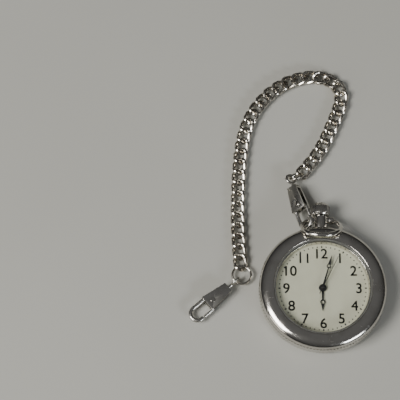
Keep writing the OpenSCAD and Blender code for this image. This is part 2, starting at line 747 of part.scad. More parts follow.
// The far end's ring hangs in the last link, and the far clasp's eye hangs in the ring
chain_end = on_route(link_count * link_pitch);
chain_end_dir = (chain_end - on_route((link_count - 1) * link_pitch)) / link_pitch;
far_heading = 221;
far_ring_heading = 50;
far_ring_dir = [cos(far_ring_heading), sin(far_ring_heading)];
far_ring_z = chain_z;
far_hold = chain_end - (link_play + far_ring_wire_r) * chain_end_dir;
far_ring_centre = far_hold + far_ring_r * chain_end_dir;
far_eye_xy = far_ring_centre - far_ring_r * far_ring_dir;
far_eye = [far_eye_xy[0], far_eye_xy[1], 2.05];

module link() {
    for (s = [-1, 1]) {
        translate([0, s * link_bend_r, 0]) rotate([0, 90, 0])
            cylinder(d = link_wire, h = link_straight, center = true);
        translate([s * link_straight / 2, 0, 0]) rotate([0, 0, -90 * s])
            rotate_extrude(angle = 180) translate([link_bend_r, 0]) circle(d = link_wire);
    }
}

module chain_links() color("silver") for (i = [0 : link_count - 1]) {
    a = on_route(i * link_pitch);
    b = on_route((i + 1) * link_pitch);
    translate([(a[0] + b[0]) / 2, (a[1] + b[1]) / 2, chain_z])
        rotate([0, 0, atan2(b[1] - a[1], b[0] - a[0])])
            rotate([i % 2 == 0 ? link_roll : -link_roll, 0, 0]) link();
}

// ---- Clasps, drawn with the swivel's eye at the origin and the nose along +x ----

module swivel() {
    loop_ring(swivel_r, swivel_wire_r);
    translate([swivel_r, 0, 0]) rotate([0, 90, 0])
        cylinder(r = swivel_shank_r, h = body_x + end_wall + 0.3 - swivel_r);
    translate([body_x + end_wall + 0.1, 0, 0]) rotate([0, 90, 0]) cylinder(r = 1, h = 0.5);
}

module body_outline() polygon([
    [body_x, -body_small_w / 2], [body_x, body_small_w / 2],
    [body_end_x, body_w / 2 + 0.6], [body_end_x, -body_w / 2]
]);

module clasp_body() color("silver") {
    difference() {
        translate([0, 0, -body_t / 2]) linear_extrude(height = body_t) body_outline();
        translate([body_x + end_wall, -body_w, -body_t / 2 + cheek])
            cube([body_len, 2 * body_w, body_t - 2 * cheek]);
        translate([body_x, 0, 0]) across(swivel_shank_r + 0.07, 4);
        translate([rivet_x, 0, 0]) cylinder(r = rivet_r + seat_gap, h = 8, center = true);
    }
    difference() {
        translate([rivet_x + 0.9, hook_bend_r, 0]) rotate([0, 90, 0])
            cylinder(r = hook_bar_r, h = nose_x - rivet_x - 0.9);
        translate([rivet_x, 0, 0]) cylinder(r = hub_r + 0.4, h = 8, center = true);
    }
    translate([rivet_x + 1.5, hook_bend_r - hook_bar_r, -body_t / 2])
        cube([body_end_x - rivet_x - 1.5, 2 * hook_bar_r, body_t]);
    translate([nose_x, 0, 0]) rotate([0, 0, -90])
        rotate_extrude(angle = 180) translate([hook_bend_r, 0]) circle(r = hook_bar_r);
    translate([gate_tip_x + gate_gap, -hook_bend_r, 0]) rotate([0, 90, 0])
        cylinder(r = hook_bar_r, h = nose_x - gate_tip_x - gate_gap);
}

module clasp_gate() color("silver") {
    tail_y = body_small_w / 2 - 0.2;
    difference() {
        union() {
            translate([rivet_x, 0, -gate_t / 2]) cylinder(r = hub_r, h = gate_t);
            translate([0, 0, -gate_t / 2]) beam([rivet_x, 0], [pad_x + pad_len / 2, tail_y], 1.2, gate_t);
            translate([pad_x, tail_y - 0.5, -gate_t / 2]) cube([pad_len, 0.5 + pad_rise, gate_t]);
            translate([0, 0, -gate_r]) beam([rivet_x, 0], [rivet_x + 1.9, -hook_bend_r], 1, 2 * gate_r);
            translate([rivet_x + 1.6, -hook_bend_r, 0]) rotate([0, 90, 0])
                cylinder(r = gate_r, h = gate_tip_x - rivet_x - 1.6);
        }
        translate([rivet_x, 0, 0]) cylinder(r = rivet_r + run_gap, h = 8, center = true);
        translate([rivet_x, 0, -0.45]) cylinder(r = hub_r + 1, h = 0.9);
        for (i = [0 : pad_grooves - 1])
            translate([pad_x + 0.35 + i * (pad_len - 0.7) / (pad_grooves - 1), tail_y + pad_rise, 0])
                cylinder(r = 0.2, h = 8, center = true);
    }
}

module clasp_rivet() color("silver") translate([rivet_x, 0, 0]) {
    cylinder(r = rivet_r, h = body_t + 0.1, center = true);
    for (s = [-1, 1]) translate([0, 0, s * (body_t / 2 + 0.15)]) cylinder(r = 0.8, h = 0.3, center = true);
}

module clasp_spring() color("gray") translate([rivet_x, 0, 0]) {
    for (k = [-1, 0, 1]) translate([0, 0, k * 2 * coil_spring_wire])
        loop_ring(coil_spring_r, coil_spring_wire + 0.01);
}

module at_watch_clasp() translate(watch_eye) rotate([0, 0, watch_heading])
    rotate([0, -watch_slope, 0]) rotate([watch_roll, 0, 0]) children();
module at_far_clasp() translate(far_eye) rotate([0, 0, far_heading]) rotate([180, 0, 0]) children();

module watch_swivel() color("silver") translate(watch_eye) rotate([0, 0, watch_heading])
    rotate([0, -watch_slope, 0]) rotate([watch_swivel_roll, 0, 0]) swivel();
module far_swivel() color("silver") at_far_clasp() rotate([90, 0, 0]) swivel();
module watch_clasp_body() at_watch_clasp() clasp_body();
module watch_clasp_gate() at_watch_clasp() clasp_gate();
module watch_clasp_rivet() at_watch_clasp() clasp_rivet();
module watch_clasp_spring() at_watch_clasp() clasp_spring();
module far_clasp_body() at_far_clasp() clasp_body();
module far_clasp_gate() at_far_clasp() clasp_gate();
module far_clasp_rivet() at_far_clasp() clasp_rivet();
module far_clasp_spring() at_far_clasp() clasp_spring();

module watch_end_ring() color("silver") translate(watch_eye) rotate([0, 0, watch_ring_heading])
    rotate([0, watch_ring_dip, 0]) translate([watch_ring_r, 0, 0]) rotate([watch_ring_roll, 0, 0])
        loop_ring(watch_ring_r, end_ring_wire_r);

module far_end_ring() color("silver") translate([far_ring_centre[0], far_ring_centre[1], far_ring_z])
    loop_ring(far_ring_r, far_ring_wire_r);

case_middle();
case_back();
back_gasket();
bezel();
crystal();
crystal_gasket();
dial();
pendant();
movement_holder();
main_plate();
train_bridge();
bridge_screws();
battery();
battery_clamp();
circuit_board();
quartz_can();
coil();
stator();
bow_screws();
bow();
crown();
stem();
crown_gasket();
clutch_pinion();
setting_lever();
hour_hand();
minute_hand();
seconds_hand();
hour_wheel();
minute_wheel();
cannon_pinion();
centre_wheel();
third_wheel();
seconds_wheel();
intermediate_wheel();
rotor();
chain_links();
watch_end_ring();
far_end_ring();
watch_swivel();
far_swivel();
watch_clasp_body();
watch_clasp_gate();
watch_clasp_rivet();
watch_clasp_spring();
far_clasp_body();
far_clasp_gate();
far_clasp_rivet();
far_clasp_spring();
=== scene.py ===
# %% [markdown]
# # A pocket watch on its chain
# The watch lies on its back on a table, with its chain in a loose hook beside it. The
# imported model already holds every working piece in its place, in metres. This lesson
# keeps those places and gives each visible piece its finished form: turned and polished
# metal, a printed dial, a domed crystal and a curb chain.

# %% Load the frame
import json
import math
import bmesh
import bpy
from mathutils import Matrix, Vector


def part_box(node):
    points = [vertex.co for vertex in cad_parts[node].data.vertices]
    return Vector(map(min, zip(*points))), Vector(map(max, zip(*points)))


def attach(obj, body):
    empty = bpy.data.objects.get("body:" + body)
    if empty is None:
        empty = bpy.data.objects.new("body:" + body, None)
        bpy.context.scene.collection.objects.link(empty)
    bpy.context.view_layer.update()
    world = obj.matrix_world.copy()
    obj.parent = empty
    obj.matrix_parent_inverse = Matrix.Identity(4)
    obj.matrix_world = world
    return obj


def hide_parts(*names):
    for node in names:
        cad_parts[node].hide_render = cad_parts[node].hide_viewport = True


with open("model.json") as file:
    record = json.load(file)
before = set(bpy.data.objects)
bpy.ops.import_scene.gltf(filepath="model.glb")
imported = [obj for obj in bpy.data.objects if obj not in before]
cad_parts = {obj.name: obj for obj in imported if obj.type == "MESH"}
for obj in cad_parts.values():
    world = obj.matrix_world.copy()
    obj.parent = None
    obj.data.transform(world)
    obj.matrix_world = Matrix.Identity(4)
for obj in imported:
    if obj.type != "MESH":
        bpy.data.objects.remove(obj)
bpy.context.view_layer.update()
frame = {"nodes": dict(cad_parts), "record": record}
MM = 0.001

# %% [markdown]
# ## Camera
# The watch is seen from above and a little from six o'clock's side. A long lens a good
# way off keeps the round case nearly free of perspective, so a circle stays an ellipse.

# %% Place the camera
VIEW_CENTRE = Vector((-40.3, 33.0, 0.0)) * MM
ELEVATION = math.radians(70.5)
CAMERA_DISTANCE = 560 * MM
VIEW_WIDTH = 135.5 * MM

camera_data = bpy.data.cameras.new("camera")
camera_data.sensor_width = 36
camera_data.lens = 36 * CAMERA_DISTANCE / VIEW_WIDTH
camera_data.clip_start = 0.01
camera = bpy.data.objects.new("camera", camera_data)
back = Vector((0, -math.cos(ELEVATION), math.sin(ELEVATION)))
camera.location = VIEW_CENTRE + CAMERA_DISTANCE * back
camera.rotation_euler = back.to_track_quat("Z", "Y").to_euler()
bpy.context.scene.collection.objects.link(camera)
bpy.context.scene.camera = camera
print("lens in mm:", round(camera_data.lens, 1))

# %% [markdown]
# ## Helpers for meshes
# Each piece starts as a bmesh and ends as an object at the origin, with its place in
# its mesh. Smooth shading with sharp creases suits turned metal, so one helper finishes
# a bmesh that way and hangs it on a body of the frame.

# %% Finish a bmesh as a piece
def new_piece(name, bm, material, body, crease=32, stands_for=()):
    mesh = bpy.data.meshes.new(name)
    for face in bm.faces:
        face.smooth = True
    for edge in bm.edges:
        edge.smooth = not (edge.is_manifold and edge.calc_face_angle(0) > math.radians(crease))
    bm.to_mesh(mesh)
    bm.free()
    piece = bpy.data.objects.new(name, mesh)
    bpy.context.scene.collection.objects.link(piece)
    mesh.materials.append(material)
    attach(piece, body)
    if stands_for:
        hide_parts(*stands_for)
    return piece

# %% Turn an outline about the z axis
def turned(points_mm, steps=128, closed=True):
    bm = bmesh.new()
    corners = [bm.verts.new((r * MM, 0, z * MM)) for r, z in points_mm]
    pairs = list(zip(corners, corners[1:]))
    if closed:
        pairs.append((corners[-1], corners[0]))
    edges = [bm.edges.new(pair) for pair in pairs]
    bmesh.ops.spin(bm, geom=corners + edges, cent=(0, 0, 0), axis=(0, 0, 1), dvec=(0, 0, 0),
                   angle=2 * math.pi, steps=steps, use_merge=True, use_duplicate=False)
    bmesh.ops.remove_doubles(bm, verts=bm.verts, dist=1e-6)
    bmesh.ops.recalc_face_normals(bm, faces=bm.faces)
    return bm

# %% Round the corners of an outline
def rounded(points, radius, cuts=4):
    out = []
    for i, p in enumerate(points):
        p = Vector(p)
        a, b = Vector(points[i - 1]), Vector(points[(i + 1) % len(points)])
        size = min(radius, (a - p).length * 0.45, (b - p).length * 0.45)
        if size < 0.01 or (a - p).angle(p - b, 0) < math.radians(14):
            out.append(p)
            continue
        start, end = p + (a - p).normalized() * size, p + (b - p).normalized() * size
        for k in range(cuts + 1):
            t = k / cuts
            out.append(start * (1 - t) ** 2 + p * 2 * t * (1 - t) + end * t ** 2)
    return [tuple(p) for p in out]

# %% [markdown]
# ## Helpers for materials
# Shader sums read best as sums. One small class wraps a socket, so that `a * 2 + b`
# adds its Math nodes, and one method adds any other node with its settings and inputs.

# %% Sockets that add up
class Signal:
    def __init__(self, finish, socket):
        self.finish, self.socket = finish, socket

    def join(self, operation, first, second):
        return self.finish.node("ShaderNodeMath", {"operation": operation}, {0: first, 1: second})

    def __add__(self, other):
        return self.join("ADD", self, other)

    def __mul__(self, other):
        return self.join("MULTIPLY", self, other)

    def __sub__(self, other):
        return self.join("SUBTRACT", self, other)

    def __rsub__(self, other):
        return self.join("SUBTRACT", other, self)

    __radd__ = __add__
    __rmul__ = __mul__


# %% A finish: a material and its nodes
class Finish:
    def __init__(self, name):
        self.material = bpy.data.materials.new(name)
        self.material.use_nodes = True
        self.nodes = self.material.node_tree.nodes
        self.links = self.material.node_tree.links
        self.nodes.clear()
        self.output = self.nodes.new("ShaderNodeOutputMaterial")
        self.place = self.node("ShaderNodeTexCoord", {}, {}, "Object")

    def feed(self, socket, value):
        if isinstance(value, Signal):
            self.links.new(value.socket, socket)
        else:
            socket.default_value = value

    def node(self, kind, settings, inputs, out=0):
        node = self.nodes.new(kind)
        for key, value in settings.items():
            setattr(node, key, value)
        for key, value in inputs.items():
            self.feed(node.inputs[key], value)
        return Signal(self, node.outputs[out])

    def noise(self, scale, detail=2.0, stretch=(1, 1, 1)):
        where = self.node("ShaderNodeMapping", {}, {"Vector": self.place, "Scale": stretch})
        return self.node("ShaderNodeTexNoise", {}, {"Vector": where, "Scale": scale, "Detail": detail})

    def between(self, value, low, high):
        return self.node("ShaderNodeMapRange", {"interpolation_type": "SMOOTHSTEP"},
                         {"Value": value, "From Min": low, "From Max": high})

    def blend(self, mask, first, second):
        node = self.nodes.new("ShaderNodeMix")
        node.data_type = "RGBA"
        self.feed(node.inputs[0], mask)
        self.feed(node.inputs[6], first)
        self.feed(node.inputs[7], second)
        return Signal(self, node.outputs[2])

    def bump(self, height, distance, strength=1.0):
        return self.node("ShaderNodeBump", {}, {"Height": height, "Distance": distance, "Strength": strength})

    def surface(self, **inputs):
        named = {key.replace("_", " "): value for key, value in inputs.items()}
        shader = self.node("ShaderNodeBsdfPrincipled", {}, named)
        self.links.new(shader.socket, self.output.inputs["Surface"])
        return self.material


# %% [markdown]
# ## Metals
# The case is polished and carried in a pocket, so its shine is broken by hairline
# scratches and a faint haze of finger marks. Two noises, each stretched along one way,
# give the hairlines, broad noise gives the haze, and both go to roughness. Darker metal
# in the haze stands for the grime that polish leaves.

# %% Polished, brushed and cast metals
def metal(name, colour, grime, shine, haze=0.08, scratch=0.10, grain=0.0):
    finish = Finish(name)
    broad = finish.noise(170.0, 3.0)
    hair_one = finish.noise(2600.0, 2.0, (1.0, 0.06, 1.0))
    hair_two = finish.noise(2300.0, 2.0, (0.07, 1.0, 0.4))
    hairs = finish.between(hair_one, 0.60, 0.72) + finish.between(hair_two, 0.62, 0.74)
    clouds = finish.between(broad, 0.42, 0.68)
    worn = finish.blend(clouds * 0.7, (*colour, 1), (*grime, 1))
    rough = clouds * haze + hairs * scratch + shine
    lumps = finish.noise(5200.0, 2.0)
    relief = finish.bump(hairs * 0.4 + lumps * grain, 0.000006, 0.35)
    return finish.surface(Base_Color=worn, Metallic=1.0, Roughness=rough, Normal=relief)


case_steel = metal("polished_case_steel", (0.62, 0.60, 0.56), (0.46, 0.44, 0.40), 0.12)
chain_steel = metal("worn_chain_steel", (0.62, 0.59, 0.53), (0.34, 0.305, 0.26), 0.14, scratch=0.14)
clasp_steel = metal("cast_clasp_steel", (0.60, 0.585, 0.55), (0.38, 0.365, 0.33), 0.20, haze=0.14, grain=0.8)
movement_brass = metal("movement_brass", (0.72, 0.53, 0.24), (0.55, 0.38, 0.16), 0.26, haze=0.10)
tool_steel = metal("satin_tool_steel", (0.52, 0.52, 0.51), (0.38, 0.38, 0.37), 0.30, haze=0.10)
blued_steel = metal("blued_screw_steel", (0.07, 0.10, 0.30), (0.03, 0.04, 0.14), 0.18)
coil_copper = metal("wound_coil_copper", (0.62, 0.26, 0.10), (0.36, 0.13, 0.05), 0.32, grain=1.0)

# %% [markdown]
# ## Enamel, lacquer, rubber and plastic
# The dial is a warm cream enamel with a very fine tooth, the printing and hands are
# glossy black, and the parts inside are moulded plastic, rubber and a printed board.

# %% Painted and moulded finishes
def coated(name, colour, second, rough, spread=240.0, tooth=3800.0, depth=0.000004, coat=0.0):
    finish = Finish(name)
    patches = finish.between(finish.noise(spread, 3.0), 0.35, 0.7)
    fine = finish.noise(tooth, 2.0)
    tint = finish.blend(patches, (*colour, 1), (*second, 1))
    relief = finish.bump(fine, depth, 0.5)
    return finish.surface(Base_Color=tint, Roughness=patches * 0.08 + fine * 0.06 + rough,
                          Normal=relief, Coat_Weight=coat)


dial_enamel = coated("cream_dial_enamel", (0.71, 0.70, 0.55), (0.67, 0.655, 0.505), 0.40)
black_print = coated("black_dial_print", (0.012, 0.012, 0.013), (0.022, 0.022, 0.022), 0.38)
black_lacquer = coated("black_hand_lacquer", (0.008, 0.008, 0.009), (0.015, 0.015, 0.015), 0.34)
black_rubber = coated("black_gasket_rubber", (0.02, 0.02, 0.02), (0.035, 0.035, 0.035), 0.62)
# Dark grey in place of the gasket's white slot, to darken the ring at the crystal's rim.
dark_grey_rim_finish = coated("grey_crystal_gasket", (0.16, 0.16, 0.15), (0.12, 0.12, 0.11), 0.45)
white_nylon = coated("white_holder_nylon", (0.78, 0.78, 0.74), (0.72, 0.72, 0.68), 0.45)
green_board = coated("green_circuit_board", (0.02, 0.16, 0.06), (0.015, 0.11, 0.045), 0.35)

# %% [markdown]
# ## Crystal
# A mineral crystal hardly shows apart from what it mirrors. Real glass would
# throw a false shadow on the dial, so this one lets light straight through and adds a
# mirror layer that grows at grazing angles, as glass does. The facing value has the same
# size on both sides of a surface, so the fifth power of it suits a thin pane.

# %% See-through crystal
def clear_crystal():
    finish = Finish("clear_mineral_crystal")
    facing = finish.node("ShaderNodeLayerWeight", {}, {"Blend": 0.5}, "Facing")
    edge = facing.join("POWER", facing, 5.0)
    smears = finish.between(finish.noise(90.0, 3.0), 0.4, 0.75)
    clear = finish.node("ShaderNodeBsdfTransparent", {}, {"Color": (0.985, 0.99, 0.985, 1)})
    gloss = finish.node("ShaderNodeBsdfPrincipled", {},
                        {"Base Color": (0.95, 0.97, 0.97, 1), "Metallic": 1.0,
                         "Roughness": smears * 0.03 + 0.02})
    shine = edge * 0.85 + smears * 0.004 + 0.03
    both = finish.node("ShaderNodeMixShader", {}, {0: shine, 1: clear, 2: gloss})
    finish.links.new(both.socket, finish.output.inputs["Surface"])
    return finish.material


crystal_glass = clear_crystal()
print("finishes:", len(bpy.data.materials))

# %% [markdown]
# ## The chain's route
# The chain is a limp cord of links, so its centre line comes first. It leaves the end
# ring of the watch's clasp, climbs to a bend, and comes back down beside the watch. The
# route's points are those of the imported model, joined by a smooth curve and then marked
# off in steps of one link.

# %% Mark off the links along the route
ROUTE = [
    (-6.1895, 41.3524), (-3.3, 44.9), (-0.6, 48.4), (1.9, 52.6), (4.3, 57.9), (6.6, 63.2), (8.2, 67.9),
    (8.5, 71.8), (6.4, 75.3), (2.2, 77.3), (-3, 77.6), (-8.2, 76.3), (-13, 73.9), (-17.3, 70.4),
    (-20.9, 66), (-23.7, 60.9), (-25.5, 55), (-26.5, 48.5), (-27.1, 42), (-27.4, 36), (-27.6, 30),
    (-27.6, 24), (-27.4, 18), (-27.1, 12.5), (-26.6, 7.6),
]
LINK_PITCH = 3.8
LINK_COUNT = 34
CHAIN_HEIGHT = 1.55


def route_curve(points, steps=6):
    places = [Vector(p) for p in points]
    out = []
    for i in range(len(places) - 1):
        a, b, c, d = (places[min(max(i + k, 0), len(places) - 1)] for k in (-1, 0, 1, 2))
        for k in range(steps):
            t = k / steps
            out.append(0.5 * (2 * b + (c - a) * t + (2 * a - 5 * b + 4 * c - d) * t * t
                              + (3 * b - a - 3 * c + d) * t ** 3))
    return out + [places[-1]]


def marked_off(line, pitch, count):
    marks, gone, k = [line[0]], 0.0, 1
    for a, b in zip(line, line[1:]):
        step = (b - a).length
        while k <= count and gone + step >= k * pitch:
            marks.append(a.lerp(b, (k * pitch - gone) / step))
            k += 1
        gone += step
    return marks


chain_marks = marked_off(route_curve(ROUTE), LINK_PITCH, LINK_COUNT)
print("link ends:", len(chain_marks), "chain in mm:", LINK_PITCH * LINK_COUNT)

# %% [markdown]
# ## One curb link
# A curb link is an oval of round wire twisted a quarter turn along its length. The twist
# lets every link lie flat on the next. A spun ring is pulled apart into an oval, then each
# cross section is turned about the long way by how far along it lies.

# %% Twist an oval ring
LINK_WIDTH, LINK_WIRE, LINK_TWIST = 4.95, 1.25, math.radians(-84)


def curb_link(bm):
    bend = (LINK_WIDTH - LINK_WIRE) / 2
    straight = LINK_PITCH + LINK_WIRE + 0.1 - 2 * bend
    seat = Matrix.Translation((bend * MM, 0, 0)) @ Matrix.Rotation(math.pi / 2, 4, "X")
    ring = bmesh.ops.create_circle(bm, segments=10, radius=LINK_WIRE / 2 * MM, matrix=seat)["verts"]
    turn = Matrix.Rotation(math.radians(5), 3, "Z")
    bmesh.ops.rotate(bm, verts=ring, cent=(0, 0, 0), matrix=turn)
    edges = list({edge for vert in ring for edge in vert.link_edges})
    before = set(bm.verts) - set(ring)
    bmesh.ops.spin(bm, geom=ring + edges, cent=(0, 0, 0), axis=(0, 0, 1), dvec=(0, 0, 0),
                   angle=2 * math.pi, steps=36, use_merge=True, use_duplicate=False)
    verts = [v for v in bm.verts if v not in before]
    reach = (straight / 2 + bend + LINK_WIRE / 2) * MM
    for vert in verts:
        vert.co.x += math.copysign(straight / 2 * MM, vert.co.x)
    for vert in verts:
        vert.co.rotate(Matrix.Rotation(LINK_TWIST / 2 * vert.co.x / reach, 3, "X"))
    return verts


# %% Lay the links along the route
chain_mesh = bmesh.new()
for a, b in zip(chain_marks, chain_marks[1:]):
    heading = math.atan2(b.y - a.y, b.x - a.x)
    middle = Vector((*((a + b) / 2), CHAIN_HEIGHT)) * MM
    place = Matrix.Translation(middle) @ Matrix.Rotation(heading, 4, "Z")
    bmesh.ops.transform(chain_mesh, matrix=place, verts=curb_link(chain_mesh))
bmesh.ops.recalc_face_normals(chain_mesh, faces=chain_mesh.faces)
chain = new_piece("curb_chain", chain_mesh, chain_steel, "chain", stands_for=("chain_links",))
print("chain triangles:", sum(len(p.vertices) - 2 for p in chain.data.polygons))

# %% [markdown]
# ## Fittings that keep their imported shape
# The clasps, rings, crown and hands are already right in shape, but their edges are
# knife sharp, and real edges are tumbled or polished round. A copy of each is merged,
# its flat faces are joined, and its sharp edges get a small bevel that catches light.

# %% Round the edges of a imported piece
def refined(name, node, material, body, bevel_mm=0.0, crease=30, flat=0.3):
    bm = bmesh.new()
    bm.from_mesh(frame["nodes"][node].data)
    bmesh.ops.remove_doubles(bm, verts=bm.verts, dist=2e-6)
    bmesh.ops.dissolve_limit(bm, angle_limit=math.radians(flat), use_dissolve_boundaries=False,
                             verts=bm.verts, edges=bm.edges, delimit=set())
    if bevel_mm:
        sharp = [e for e in bm.edges if e.is_manifold and e.calc_face_angle(0) > math.radians(crease)]
        bmesh.ops.bevel(bm, geom=sharp, offset=bevel_mm * MM, offset_type="OFFSET", affect="EDGES",
                        segments=2, profile=0.5, clamp_overlap=True, material=-1)
    return new_piece(name, bm, material, body, crease=crease, stands_for=(node,))


clasp_pieces = []
for side in ("watch", "far"):
    clasp_pieces += [
        refined(f"{side}_clasp_body_cast", f"{side}_clasp_body", clasp_steel, f"{side}_clasp", 0.45),
        refined(f"{side}_clasp_gate_cast", f"{side}_clasp_gate", clasp_steel, f"{side}_gate", 0.08),
        refined(f"{side}_clasp_rivet_domed", f"{side}_clasp_rivet", case_steel, f"{side}_clasp", 0.12),
        refined(f"{side}_swivel_turned", f"{side}_swivel", clasp_steel,
                "chain" if side == "watch" else "far_end", 0.06),
        refined(f"{side}_end_ring_wire", f"{side}_end_ring", chain_steel,
                "chain" if side == "watch" else "far_end"),
    ]
clasp_pieces += [frame["nodes"][f"{side}_clasp_spring"] for side in ("watch", "far")]
print("pieces on the chain:", len(clasp_pieces))

# %% [markdown]
# ## Bezel
# The bezel is one turning. Its outside is a bold half round that mirrors the whole
# room, and inside it steps down past the crystal to a slope that frames the dial. An
# outline is drawn once, rounded at its corners and spun in 192 steps.

# %% Turn the bezel
CASE_R, SEAT_Z, RISE = 21.0, 7.0, 2.7
OPENING_R, CRYSTAL_R, CREST_R = 15.0, 15.75, 16.7
CRYSTAL_SINK = 1.25
CRYSTAL_Z = SEAT_Z + RISE - CRYSTAL_SINK
FLANGE_Z, SKIRT_Z = 6.43, 6.27
SKIRT_IN_R, SKIRT_OUT_R = 18.08, 18.78
dome = [(CREST_R + (CASE_R - 0.1 - CREST_R) * math.cos(math.radians(a)),
         SEAT_Z + 0.25 + (RISE - 0.25) * math.sin(math.radians(a))) for a in range(0, 91, 6)]
bezel_outline = ([(OPENING_R, FLANGE_Z), (SKIRT_IN_R, FLANGE_Z), (SKIRT_IN_R, SKIRT_Z),
                  (SKIRT_OUT_R, SKIRT_Z), (SKIRT_OUT_R, SEAT_Z), (CASE_R - 0.1, SEAT_Z)] + dome
                 + [(CRYSTAL_R + 0.42, SEAT_Z + RISE - 0.12), (CRYSTAL_R + 0.3, CRYSTAL_Z + 0.9),
                    (CRYSTAL_R + 0.3, CRYSTAL_Z), (OPENING_R + 0.35, CRYSTAL_Z - 0.02)])
bezel = new_piece("bezel_turned", turned(rounded(bezel_outline, 0.14), 192), case_steel, "case",
                  stands_for=("bezel",))
print("bezel triangles:", sum(len(p.vertices) - 2 for p in bezel.data.polygons))

# %% [markdown]
# ## Case middle and back
# The case middle carries a coin edge, a band of fine upright ribs between two plain
# rims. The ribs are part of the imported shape. The back is a shallow dish that the watch
# rests on, seen only from low down.

# %% Refine the case, the crown and the pendant
case_pieces = [
    refined("case_middle_coin_edge", "case_middle", case_steel, "case", crease=20),
    refined("case_back_dished", "case_back", case_steel, "case", crease=35),
    refined("pendant_turned", "pendant", case_steel, "case", 0.12),
    refined("crown_fluted", "crown", case_steel, "crown", 0.10, crease=28),
    refined("bow_screws_slotted", "bow_screws", case_steel, "case", 0.05),
]
print("case pieces:", len(case_pieces))

# %% [markdown]
# ## Bow
# The bow is round wire bent into a ring whose two ends are flattened into eyelets, one
# on each screw. The ring is a circle spun most of the way round, and each eyelet is a
# turned washer with rounded edges.

# %% Bend the bow
BOW_R, BOW_WIRE, BOW_EYE_X, BOW_LEAN = 6.3, 1.6, 3.6, 47
BOW_PIVOT = Vector((0, 24.0, 4.75))
BOW_END_GAP = math.radians(7)
EYE_BORE_R, EYE_R, EYE_HALF = 0.66, 1.3, 0.7
bow_centre = math.sqrt(BOW_R ** 2 - BOW_EYE_X ** 2)
bow_mesh = bmesh.new()
start = math.atan2(-bow_centre, BOW_EYE_X) + BOW_END_GAP
sweep = math.pi - 2 * start
seat = (Matrix.Translation((0, bow_centre * MM, 0)) @ Matrix.Rotation(start, 4, "Z")
        @ Matrix.Translation((BOW_R * MM, 0, 0)) @ Matrix.Rotation(math.pi / 2, 4, "X"))
bmesh.ops.create_circle(bow_mesh, cap_ends=True, segments=28, radius=BOW_WIRE / 2 * MM, matrix=seat)
bmesh.ops.spin(bow_mesh, geom=bow_mesh.faces[:], cent=(0, bow_centre * MM, 0), axis=(0, 0, 1),
               dvec=(0, 0, 0), angle=sweep, steps=96, use_merge=False, use_duplicate=False)
for side in (-1, 1):
    washer = turned(rounded([(EYE_BORE_R, -EYE_HALF), (EYE_R, -EYE_HALF), (EYE_R, EYE_HALF),
                             (EYE_BORE_R, EYE_HALF)], 0.16), 48)
    place = Matrix.Translation((side * BOW_EYE_X * MM, 0, 0)) @ Matrix.Rotation(math.pi / 2, 4, "Y")
    bmesh.ops.transform(washer, matrix=place, verts=washer.verts)
    spare = bpy.data.meshes.new("washer")
    washer.to_mesh(spare)
    washer.free()
    bow_mesh.from_mesh(spare)
bmesh.ops.recalc_face_normals(bow_mesh, faces=bow_mesh.faces)
lean = Matrix.Translation(BOW_PIVOT * MM) @ Matrix.Rotation(math.radians(180 - BOW_LEAN), 4, "X")
bmesh.ops.transform(bow_mesh, matrix=lean, verts=bow_mesh.verts)
new_piece("bow_bent", bow_mesh, case_steel, "bow", stands_for=("bow",))
print("bow sweep in degrees:", round(math.degrees(sweep)))

# %% [markdown]
# ## Dial
# The dial is printed, so its numerals and minute dots are thin raised ink. Each numeral
# starts as text, is made a mesh, and is set upright on its circle. Four impressions that
# slip a little from each other make the strokes bold. Only plain hour numbers are
# printed.

# %% Print the numerals
DIAL_TOP = 6.4
NUMERAL_R, NUMERAL_SIZE, INK, SLIP = 11.9, 4.8, 0.012, 0.055
DIGIT_SHARE = 0.73  # a digit's height as a share of the type size


def printed(text, x, y, size):
    curve = bpy.data.curves.new("numeral", "FONT")
    curve.body, curve.size, curve.extrude = text, size * MM, INK * MM
    curve.align_x, curve.align_y = "CENTER", "CENTER"
    holder = bpy.data.objects.new("numeral", curve)
    bpy.context.scene.collection.objects.link(holder)
    bpy.context.view_layer.update()
    mesh = bpy.data.meshes.new_from_object(holder)
    bpy.data.objects.remove(holder)
    xs = [v.co.x for v in mesh.vertices]
    ys = [v.co.y for v in mesh.vertices]
    middle = Vector(((min(xs) + max(xs)) / 2, (min(ys) + max(ys)) / 2, 0))
    mesh.transform(Matrix.Translation(Vector((x * MM, y * MM, (DIAL_TOP + INK) * MM)) - middle))
    return mesh


ink_mesh = bmesh.new()
for hour in range(1, 13):
    turn = math.radians(90 - 30 * hour)
    for slip_x, slip_y in ((-SLIP, -SLIP), (SLIP, -SLIP), (-SLIP, SLIP), (SLIP, SLIP)):
        ink_mesh.from_mesh(printed(str(hour), NUMERAL_R * math.cos(turn) + slip_x,
                                   NUMERAL_R * math.sin(turn) + slip_y, NUMERAL_SIZE))
new_piece("dial_numerals", ink_mesh, black_print, "case")
print("numeral height in mm:", round(NUMERAL_SIZE * DIGIT_SHARE, 2))

# %% Print the minute dots
MINUTES = 60
TRACK_R = 14.2
BOLD_DOT, PLAIN_DOT = (0.78, 0.5), (0.46, 0.4)
dots = bmesh.new()
for minute in range(MINUTES):
    turn = math.radians(90 - 6 * minute)
    length, width = BOLD_DOT if minute % 5 == 0 else PLAIN_DOT
    seat = (Matrix.Rotation(turn, 4, "Z") @ Matrix.Translation((TRACK_R * MM, 0, (DIAL_TOP + INK) * MM))
            @ Matrix.Diagonal((length * MM, width * MM, 2 * INK * MM, 1)))
    bmesh.ops.create_cone(dots, cap_ends=True, segments=12, radius1=0.5, radius2=0.5, depth=1,
                          matrix=seat)
new_piece("minute_track", dots, black_print, "case")
print("minute dots:", MINUTES)

# %% [markdown]
# ## Hands
# Each pomme hand is stamped from thin sheet, lacquered black and pressed on its pipe, so
# it keeps its outline and gets softened edges. A small domed cap closes the middle.

